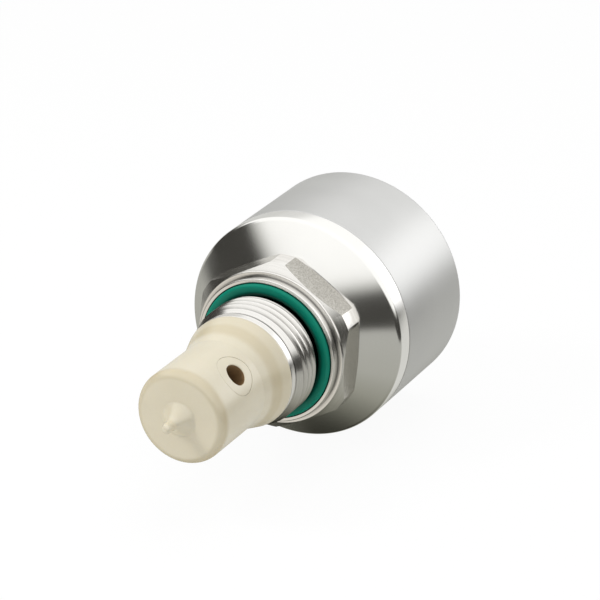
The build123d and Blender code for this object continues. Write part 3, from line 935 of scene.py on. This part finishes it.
# Ferrite, pressed and sintered: dark grey and matt, with pores drawn 0.4 mm apart so that
# they show
ferrite, tree, shader, place = start_material("sintered_ferrite")
pores = add_node(tree, "ShaderNodeTexVoronoi", {}, {"Vector": place, "Scale": 1 / 0.0004})
tone = add_node(
    tree,
    "ShaderNodeMixRGB",
    {},
    {"Fac": pores.outputs["Distance"], "Color1": linear("#2C2C2E"), "Color2": linear("#454548")},
)
tree.links.new(tone.outputs["Color"], shader.inputs["Base Color"])
shader.inputs["Roughness"].default_value = 0.6
dress(["transmit_core", "receive_core", "transformer"], ferrite)

# Copper wire, drawn and enamelled: the lacquer makes it darker and redder, and uneven in tone
copper_wire, tree, shader, place = start_material("enamelled_copper_wire")
lacquer = add_node(tree, "ShaderNodeTexNoise", {}, {"Vector": place, "Scale": 1 / 0.0005, "Detail": 2.0})
tone = add_node(
    tree,
    "ShaderNodeMixRGB",
    {},
    {"Fac": lacquer.outputs["Fac"], "Color1": linear("#A4562B"), "Color2": linear("#C0703C")},
)
tree.links.new(tone.outputs["Color"], shader.inputs["Base Color"])
shader.inputs["Metallic"].default_value = 1.0
shader.inputs["Roughness"].default_value = 0.3
dress(["transmit_winding", "receive_winding"], copper_wire)

# Copper sheet, rolled: pale, bright copper with fine lines along the rolling
copper_sheet, tree, shader, place = start_material("rolled_copper_sheet")
rolled = add_node(tree, "ShaderNodeMapping", {}, {"Vector": place, "Scale": (4000, 300, 4000)})
lines = add_node(tree, "ShaderNodeTexNoise", {}, {"Vector": rolled.outputs[0], "Scale": 1.0, "Detail": 2.0})
tone = add_node(
    tree,
    "ShaderNodeMixRGB",
    {},
    {"Fac": lines.outputs["Fac"], "Color1": linear("#C98662"), "Color2": linear("#DDA07E")},
)
tree.links.new(tone.outputs["Color"], shader.inputs["Base Color"])
shader.inputs["Metallic"].default_value = 1.0
shader.inputs["Roughness"].default_value = 0.3
dress(["coil_screen"], copper_sheet)

# Leads, temperature element and liner: white fluoropolymer insulation, a glazed
# alumina rod in the nib, and a rolled film between the boards and the tube.

# Fluoropolymer, extruded: waxy white with hardly any gloss
lead_insulation, tree, shader, place = start_material("fluoropolymer_lead_insulation")
wax = add_node(tree, "ShaderNodeTexNoise", {}, {"Vector": place, "Scale": 1 / 0.002, "Detail": 2.0})
tone = add_node(
    tree,
    "ShaderNodeMixRGB",
    {},
    {"Fac": wax.outputs["Fac"], "Color1": linear("#D6D6D2"), "Color2": linear("#E4E4E1")},
)
tree.links.new(tone.outputs["Color"], shader.inputs["Base Color"])
shader.inputs["Roughness"].default_value = 0.4
dress(["coil_leads", "temperature_leads"], lead_insulation)

# Alumina, fired and glazed: warm white with a clear gloss
alumina, tree, shader, place = start_material("glazed_alumina")
glaze = add_node(tree, "ShaderNodeTexNoise", {}, {"Vector": place, "Scale": 1 / 0.0008, "Detail": 2.0})
tone = add_node(
    tree,
    "ShaderNodeMixRGB",
    {},
    {"Fac": glaze.outputs["Fac"], "Color1": linear("#DEDCD3"), "Color2": linear("#EDEBE5")},
)
tree.links.new(tone.outputs["Color"], shader.inputs["Base Color"])
shader.inputs["Roughness"].default_value = 0.25
dress(["temperature_element"], alumina)

# Polyester film, drawn and rolled: milky, smooth, with slow waves in its tone
liner_film, tree, shader, place = start_material("polyester_liner_film")
wave = add_node(tree, "ShaderNodeTexNoise", {}, {"Vector": place, "Scale": 1 / 0.012, "Detail": 2.0})
tone = add_node(
    tree,
    "ShaderNodeMixRGB",
    {},
    {"Fac": wave.outputs["Fac"], "Color1": linear("#CFCBBE"), "Color2": linear("#DEDBD0")},
)
tree.links.new(tone.outputs["Color"], shader.inputs["Base Color"])
shader.inputs["Roughness"].default_value = 0.35
dress(["insulating_liner"], liner_film)

# Boards and capacitors: green solder mask over glass epoxy, whose weave shows
# faintly, and deep-drawn aluminium cans.

# Glass epoxy, laminated and solder-masked: glossy green over a weave 1 mm wide
circuit_board, tree, shader, place = start_material("solder_masked_glass_epoxy")
weave = add_node(
    tree,
    "ShaderNodeTexBrick",
    {"offset": 0.5},
    {
        "Vector": place,
        "Scale": 1 / 0.001,
        "Color1": linear("#1F5A36"),
        "Color2": linear("#26663E"),
        "Mortar": linear("#184A2C"),
        "Mortar Size": 0.08,
    },
)
tree.links.new(weave.outputs["Color"], shader.inputs["Base Color"])
shader.inputs["Roughness"].default_value = 0.35
dress(["sensor_board", "supply_board"], circuit_board)

# Aluminium, deep drawn: pale grey and bright, with fine draw lines
can_aluminium, tree, shader, place = start_material("deep_drawn_aluminium")
drawn = add_node(tree, "ShaderNodeMapping", {}, {"Vector": place, "Scale": (5000, 400, 5000)})
lines = add_node(tree, "ShaderNodeTexNoise", {}, {"Vector": drawn.outputs[0], "Scale": 1.0, "Detail": 2.0})
tone = add_node(
    tree,
    "ShaderNodeMixRGB",
    {},
    {"Fac": lines.outputs["Fac"], "Color1": linear("#BDBEC0"), "Color2": linear("#D3D4D6")},
)
tree.links.new(tone.outputs["Color"], shader.inputs["Base Color"])
shader.inputs["Metallic"].default_value = 1.0
shader.inputs["Roughness"].default_value = 0.3
dress([f"capacitor_{number}" for number in (1, 2, 3)], can_aluminium)

# Studio: a pale floor under the sensor, soft lamps, and a room that the steel
# mirrors: bright above, dark along its horizon, grey below and dark at the foot.

floor_height = -0.0312
white_share = 0.94

bpy.ops.object.select_all(action="DESELECT")
bpy.ops.mesh.primitive_grid_add(x_subdivisions=2, y_subdivisions=2, size=6, location=(0, 0, floor_height))
floor = bpy.context.object
floor.name = "floor"
bpy.ops.object.transform_apply(location=True, rotation=True, scale=True)
floor.visible_glossy = False

# Floor paint, rolled: plain, matt white, which takes only the sensor's shadow
floor_paint, tree, shader, place = start_material("pale_floor_paint")
shader.inputs["Base Color"].default_value = linear("#FCFCFC")
shader.inputs["Roughness"].default_value = 0.9
glow = add_node(tree, "ShaderNodeEmission", {}, {"Color": (1, 1, 1, 1), "Strength": 1.0})
path = add_node(tree, "ShaderNodeLightPath", {}, {})
share = add_node(
    tree,
    "ShaderNodeMath",
    {"operation": "MULTIPLY"},
    {0: path.outputs["Is Camera Ray"], 1: white_share},
)
blend = add_node(
    tree,
    "ShaderNodeMixShader",
    {},
    {0: share.outputs[0], 1: shader.outputs[0], 2: glow.outputs[0]},
)
tree.links.new(blend.outputs[0], tree.nodes["Material Output"].inputs["Surface"])
floor.data.materials.append(floor_paint)

# The room's wall, by height along a slightly tilted horizon, with panels and gaps set in it.
# Reflections alone see it: all else gets an even grey, and the camera gets white
world = bpy.data.worlds.new("studio")
bpy.context.scene.world = world
world.use_nodes = True
tree = world.node_tree
world.cycles.sampling_method = "NONE"
direction = add_node(tree, "ShaderNodeTexCoord", {}, {}).outputs["Generated"]
horizon_tilt = Vector((0.158, 0.029, 1.0))
height = add_node(
    tree,
    "ShaderNodeVectorMath",
    {"operation": "DOT_PRODUCT"},
    {0: direction, 1: horizon_tilt},
)
share = add_node(
    tree,
    "ShaderNodeMapRange",
    {},
    {"Value": height.outputs["Value"], "From Min": -1.0, "From Max": 1.0},
)
wall = add_node(tree, "ShaderNodeValToRGB", {}, {"Fac": share.outputs["Result"]})
stops = wall.color_ramp.elements
for height_mark, colour in (
    (-1.0, "#2A2A24"),
    (-0.93, "#63635A"),
    (-0.8, "#8C8C82"),
    (-0.6, "#A1A19A"),
    (-0.19, "#A8A8A3"),
    (-0.14, "#3A3936"),
    (0.15, "#3C3B38"),
    (0.21, "#B4B4AF"),
    (0.28, "#F8F8F6"),
    (1.0, "#FFFFFF"),
):
    stop = stops.new((height_mark + 1) / 2)
    stop.color = linear(colour)
stops.remove(stops[0])
stops.remove(stops[len(stops) - 1])
room = wall.outputs["Color"]
for aim, inner, outer, colour, strength in (
    ((-0.55, 0.80, 0.22), 8, 21, "#D0D0CE", 1.0),
    ((-0.57, 0.81, -0.06), 12, 18, "#C6C6C3", 1.0),
    ((-0.42, -0.81, -0.40), 10, 28, "#D4D0C8", 1.0),
    ((-0.90, -0.40, -0.10), 8, 16, "#3A3936", 1.0),
    ((-0.92, -0.25, 0.30), 9, 17, "#3A3936", 1.0),
    ((0.30, 0.84, -0.48), 14, 34, "#CACAC6", 1.0),
    ((0.48, 0.84, 0.24), 4, 22, "#FFFFFF", 1.7),
):
    aim = Vector(aim).normalized()
    facing = add_node(tree, "ShaderNodeVectorMath", {"operation": "DOT_PRODUCT"}, {0: direction, 1: aim})
    patch = add_node(
        tree,
        "ShaderNodeMapRange",
        {"interpolation_type": "SMOOTHSTEP"},
        {
            "Value": facing.outputs["Value"],
            "From Min": math.cos(math.radians(outer)),
            "From Max": math.cos(math.radians(inner)),
        },
    )
    room = add_node(
        tree,
        "ShaderNodeMixRGB",
        {},
        {
            "Fac": patch.outputs["Result"],
            "Color1": room,
            "Color2": [channel * strength for channel in linear(colour)[:3]] + [1.0],
        },
    ).outputs["Color"]
path = add_node(tree, "ShaderNodeLightPath", {}, {})
even_grey = (0.56, 0.56, 0.56, 1)
seen = add_node(
    tree,
    "ShaderNodeMixRGB",
    {},
    {"Fac": path.outputs["Is Glossy Ray"], "Color1": even_grey, "Color2": room},
)
seen = add_node(
    tree,
    "ShaderNodeMixRGB",
    {},
    {"Fac": path.outputs["Is Camera Ray"], "Color1": seen.outputs["Color"], "Color2": (1, 1, 1, 1)},
)
tree.links.new(seen.outputs["Color"], tree.nodes["Background"].inputs["Color"])
gain = add_node(
    tree,
    "ShaderNodeMath",
    {"operation": "MULTIPLY_ADD"},
    {0: path.outputs["Is Glossy Ray"], 1: 0.2, 2: 1.0},
)
tree.links.new(gain.outputs[0], tree.nodes["Background"].inputs["Strength"])

# Two soft lamps give the shadow and the shape of the plastic, and don't show in the steel
for name, place, aim, width, power in (
    ("overhead_softbox", (0.10, 0.05, 0.60), (0, 0, 0), 0.5, 1.5),
    ("key_softbox", (-0.38, -0.35, 0.48), (0, -0.02, 0), 0.2, 1.9),
):
    bpy.ops.object.select_all(action="DESELECT")
    bpy.ops.object.light_add(type="AREA", location=place)
    lamp = bpy.context.object
    lamp.name = name
    lamp.data.size = width
    lamp.data.energy = power
    lamp.visible_glossy = False
    lamp.rotation_euler = (Vector(place) - Vector(aim)).to_track_quat("Z", "Y").to_euler()

# Camera at the photograph's viewing angle, in degrees round from the front and above the floor
camera_turn = 27.31
camera_rise = 23.55
bpy.ops.object.camera_add(
    location=(0.32799, -0.61572, 0.31854),
    rotation=(math.radians(90 - camera_rise), 0, math.radians(camera_turn)),
)
camera = bpy.context.object
camera.data.sensor_width = 36
camera.data.lens = 176.07
bpy.context.scene.camera = camera
bpy.context.scene.view_settings.view_transform = "Standard"
